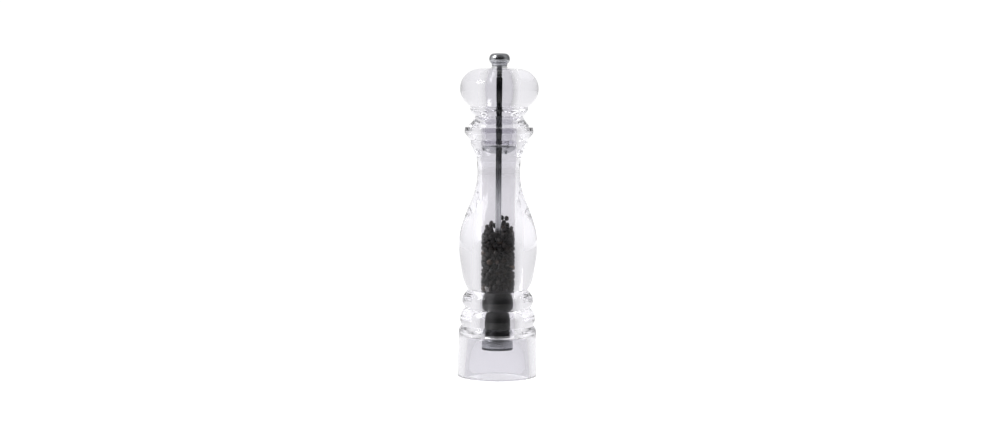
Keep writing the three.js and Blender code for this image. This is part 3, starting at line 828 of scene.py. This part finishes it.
def settle_corns():
    """Drops corns one by one, each to the lowest free place of many tries. Rows of x, y, z, radius."""
    dice = np.random.default_rng(41)
    corns = np.empty((0, 4))
    misses, patience, tries = 0, 8, 70
    clearance = 0.12
    shaft_clear = SHAFT_SIDE / math.sqrt(2) + clearance
    floor_height = BRIDGE_TOP + 0.2
    while misses < patience and len(corns) < MOST_CORNS:
        broken = BROKEN_SIZE if len(corns) < BROKEN_CORNS else 1.0
        radius = CORN_RADIUS * broken * (0.86 + 0.26 * dice.random())
        angle = dice.random(tries) * FULL_TURN
        inner = shaft_clear + radius
        outer = BORE_RADIUS - TOUCH_GAP - radius
        reach = np.sqrt(inner ** 2 + (outer ** 2 - inner ** 2) * dice.random(tries))
        reach[: tries // 2] = outer
        x, y = reach * np.cos(angle), reach * np.sin(angle)
        rest = np.full(tries, floor_height + radius)
        if len(corns):
            across = np.hypot(x[:, None] - corns[None, :, 0], y[:, None] - corns[None, :, 1])
            touch = radius + corns[None, :, 3] * 0.97
            lift = np.sqrt(np.maximum(touch ** 2 - across ** 2, 0))
            heights = np.where(across < touch, corns[None, :, 2] + lift, 0)
            rest = np.maximum(rest, heights.max(axis=1))
        limit = np.array([chamber_radius(z) - clearance - radius for z in rest])
        reach = np.hypot(x, y)
        pull = np.minimum(1, limit / reach)
        x, y = x * pull, y * pull
        allowed = np.array([z + radius * 0.6 < heap_top(a, b) for a, b, z in zip(x, y, rest)])
        if not allowed.any():
            misses += 1
            continue
        rest = np.where(allowed, rest, 1e9)
        best = int(rest.argmin())
        corns = np.vstack([corns, (x[best], y[best], rest[best], radius)])
        misses = 0
    return corns, dice


def model_corn(name, dice):
    """One dried corn: a ball with its skin pulled in and out."""
    deselect_all()
    bpy.ops.mesh.primitive_ico_sphere_add(subdivisions=2, radius=1, enter_editmode=True)
    corn = name_piece(name)
    bpy.ops.mesh.select_all(action="SELECT")
    bpy.ops.transform.vertex_random(offset=0.06, uniform=0.0, normal=1.0, seed=int(dice.integers(1, 900)))
    bpy.ops.object.mode_set(mode="OBJECT")
    bpy.ops.object.shade_smooth()
    return corn


def pepper_heap():
    corns, dice = settle_corns()
    shapes = [model_corn(f"corn_shape_{index}", dice) for index in range(CORN_SHAPES)]
    copies = []
    for x, y, z, radius in corns:
        copy = clone(shapes[int(dice.integers(0, len(shapes)))], "corn")
        turn = Euler(dice.random(3) * FULL_TURN).to_matrix().to_4x4()
        squeeze = Matrix.Diagonal((1, 1 - 0.1 * dice.random(), 1 - 0.08 * dice.random(), 1))
        place = Matrix.Translation((x * MM, y * MM, z * MM))
        copy.data.transform(place @ turn @ squeeze @ Matrix.Scale(radius * MM, 4))
        # Most corns are dark and a few are brown.
        tone = copy.data.attributes.new("corn_tone", "FLOAT", "POINT")
        shade = dice.random() ** 2.4
        tone.data.foreach_set("value", [shade] * len(copy.data.vertices))
        copies.append(copy)
    for shape in shapes:
        bpy.data.objects.remove(shape, do_unlink=True)
    make_active(copies[0])
    for copy in copies[1:]:
        copy.select_set(True)
    bpy.ops.object.join()
    heap = name_piece("peppercorns")
    settle(heap)
    return heap


# ---- Putting the mill together ----

def fit(piece, body, material, node):
    """Gives a piece its finish and puts it on its body in the place of a CAD node."""
    piece.data.materials.clear()
    piece.data.materials.append(material)
    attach(piece, body)
    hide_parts(node)


def refinish(node, material):
    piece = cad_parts[node]
    for piece_slot in piece.material_slots:
        piece_slot.material = material


acrylic = cast_acrylic()
bright = polished_steel()
rod_steel = drawn_rod()
burr_metal = burr_steel()
zinc = plated_steel()
pepper = dried_pepper()
acetal = black_acetal()

fit(clear_body(), "mill_body", acrylic, "body_shell")
fit(clear_head(), "head", acrylic, "head_shell")
fit(pepper_heap(), "mill_body", pepper, "peppercorn_fill")
fit(burr_cup(), "mill_body", bright, "burr_cup")
fit(grinder_housing(), "mill_body", acetal, "burr_housing")
# The cup floor takes the dark burr steel so that its underside reads dark, which is partly painted shade.
fit(cup_floor(), "mill_body", burr_metal, "lower_bridge")
fit(square_rod(), "rotor", rod_steel, "drive_shaft")
fit(turning_plate(), "head", bright, "drive_plate")
fit(crown_bush(), "head", burr_metal, "head_bush")
fit(knob_washer(), "nut_seat", bright, "nut_washer")
fit(adjusting_knob(), "finial", bright, "finial_nut")
for number in (1, 2, 3):
    cup_screw = small_screw(f"cup_screw_{number}", f"retaining_screw_{number}")
    fit(cup_screw, "mill_body", zinc, f"retaining_screw_{number}")
    tenon_screw = small_screw(f"tenon_screw_{number}", f"plate_screw_{number}")
    fit(tenon_screw, "head", bright, f"plate_screw_{number}")
for kept in ("outer_burr", "inner_burr"):
    refinish(kept, burr_metal)
refinish("upper_bridge", acetal)
for kept in ("thrust_washer", "burr_spring", "burr_washer", "burr_clip"):
    refinish(kept, zinc)


# ---- Floor, light and camera ----

def pale_floor():
    """Matt white table, a little less lit toward the camera side of the room."""
    front, back, side = 0.9, 1.6, 1.2
    deselect_all()
    bpy.ops.mesh.primitive_plane_add(size=1, location=(0, (back - front) / 2, -0.2 * MM))
    floor = name_piece("floor")
    floor.scale = (2 * side, back + front, 1)
    settle(floor)
    material, tree, shader = start_material("matt_white_laminate")
    place = add(tree, "ShaderNodeTexCoord").outputs["Object"]
    split = add(tree, "ShaderNodeSeparateXYZ", Vector=place)
    # The tone of the laminate drifts over some 25 mm.
    grain = add(tree, "ShaderNodeTexNoise", {"Scale": 1 / (25 * MM), "Detail": 3.0}, Vector=place)
    tint = ramp(tree, grain.outputs[0], [(0.3, "#f3f3f4"), (0.7, "#f7f7f8")])
    dim_to, lit_from = -0.6, -0.22
    lit = add(
        tree, "ShaderNodeMapRange",
        {"From Min": dim_to, "From Max": lit_from, "To Min": 0.3, "To Max": 1.0}, Value=split.outputs["Y"],
    )
    cover = add(
        tree, "ShaderNodeMix", {"data_type": "RGBA", 6: colour("#b4b4b7")},
        _0=lit.outputs[0], _7=tint.outputs[0],
    )
    # The table is shaded inside the foot of the mill.
    away = add(tree, "ShaderNodeVectorMath", {"operation": "LENGTH"}, Vector=place)
    shaded_to, open_from = 0.8 * BASE_RADIUS * MM, 1.05 * BASE_RADIUS * MM
    open_sky = add(
        tree, "ShaderNodeMapRange",
        {"From Min": shaded_to, "From Max": open_from, "To Min": 0.22, "To Max": 0.58},
        Value=away.outputs["Value"],
    )
    glow = add(tree, "ShaderNodeMath", {"operation": "MULTIPLY"}, _0=lit.outputs[0], _1=open_sky.outputs[0])
    tree.links.new(cover.outputs[2], shader.inputs["Base Color"])
    # Painted light: the table glows though it is no lamp. The glow is painted lower toward the camera side
    # and inside the foot, as painted shade.
    tree.links.new(glow.outputs[0], shader.inputs["Emission Strength"])
    shader.inputs["Roughness"].default_value = 0.7
    shader.inputs["Emission Color"].default_value = (1, 1, 1, 1)
    floor.data.materials.append(material)


def studio_world():
    """White backdrop, a soft light grey room for what passes the acrylic and a darker one for what shines."""
    world = bpy.data.worlds.new("studio")
    bpy.context.scene.world = world
    world.use_nodes = True
    tree = world.node_tree
    tree.nodes.clear()
    place = add(tree, "ShaderNodeTexCoord")
    split = add(tree, "ShaderNodeSeparateXYZ", Vector=place.outputs["Generated"])
    x, y, z = split.outputs
    turn = add(tree, "ShaderNodeMath", {"operation": "ARCTAN2"}, _0=x, _1=y)
    # Round the room: 0 and 1 are behind the camera, and 0.5 is the backdrop.
    around = add(
        tree, "ShaderNodeMapRange", {"From Min": -math.pi, "From Max": math.pi}, Value=turn.outputs[0],
    )
    height = add(tree, "ShaderNodeMapRange", {"From Min": -1.0, "From Max": 1.0}, Value=z)

    def room(sides, overhead, strength):
        """Grey walls by their place round the room, whitened below and above by the height."""
        walls = ramp(tree, around.outputs[0], sides)
        blend = ramp(tree, height.outputs[0], overhead)
        joined = add(
            tree, "ShaderNodeMix", {"data_type": "RGBA", 7: (1.0, 1.0, 1.0, 1.0)},
            _0=blend.outputs[0], _6=walls.outputs[0],
        )
        return add(tree, "ShaderNodeBackground", {"Strength": strength}, Color=joined.outputs[2])

    shining = room([
        (0.0, 0.03), (0.12, 0.03), (0.17, 0.5), (0.22, 1.0), (0.3, 0.9), (0.36, 0.3), (0.44, 0.6),
        (0.5, 0.8), (0.56, 0.5), (0.66, 0.25), (0.76, 0.55), (0.82, 0.4), (0.88, 0.05), (1.0, 0.03),
    ], [(0.0, 0.3), (0.3, 0.0), (0.72, 0.0), (0.88, 0.25)], 1.0)
    passing = room([
        (0.0, 0.05), (0.12, 0.08), (0.2, 0.6), (0.28, 0.85), (0.42, 1.0),
        (0.5, 1.0), (0.58, 1.0), (0.7, 0.75), (0.8, 0.45), (0.88, 0.08), (1.0, 0.05),
    ], [(0.0, 0.9), (0.45, 0.9), (0.54, 0.0), (0.72, 0.0), (0.95, 0.7)], 1.1)
    backdrop = add(tree, "ShaderNodeBackground", {"Strength": 1.05, "Color": (1, 1, 1, 1)})
    path = add(tree, "ShaderNodeLightPath")
    through = add(
        tree, "ShaderNodeMixShader",
        _0=path.outputs["Is Transmission Ray"], _1=shining.outputs[0], _2=passing.outputs[0],
    )
    shown = add(
        tree, "ShaderNodeMixShader",
        _0=path.outputs["Is Camera Ray"], _1=through.outputs[0], _2=backdrop.outputs[0],
    )
    add(tree, "ShaderNodeOutputWorld", Surface=shown.outputs[0])


def softbox(name, place, aim, size, power):
    lamp = bpy.data.lights.new(name, "AREA")
    lamp.shape = "SQUARE"
    lamp.size = size
    lamp.energy = power
    lamp.use_shadow = False
    light = bpy.data.objects.new(name, lamp)
    bpy.context.collection.objects.link(light)
    light.location = place
    light.rotation_euler = (Vector(aim) - Vector(place)).to_track_quat("-Z", "Y").to_euler()


def studio_camera():
    lens = bpy.data.cameras.new("camera")
    lens.sensor_width = 36
    lens.lens = 67.85
    camera = bpy.data.objects.new("camera", lens)
    bpy.context.collection.objects.link(camera)
    # Metres from the axis of the mill, then degrees down and over.
    distance, height, sideways = 1.28, 0.203, 0.00115
    pitch, roll = math.radians(4.21), math.radians(0.46)
    tilt = Matrix.Rotation(math.pi / 2 - pitch, 4, "X") @ Matrix.Rotation(roll, 4, "Z")
    camera.matrix_world = Matrix.Translation((sideways, -distance, height)) @ tilt
    bpy.context.scene.camera = camera


pale_floor()
studio_world()
softbox("left_box", (-1.1, -0.5, 1.0), (0, 0, 0.1), 0.6, 12)
studio_camera()
bpy.context.scene.view_settings.view_transform = "Standard"
# Light that is caught in the acrylic turns back many times before it gets out.
bpy.context.scene.cycles.max_bounces = 24
bpy.context.scene.cycles.glossy_bounces = 16
bpy.context.scene.cycles.transmission_bounces = 24
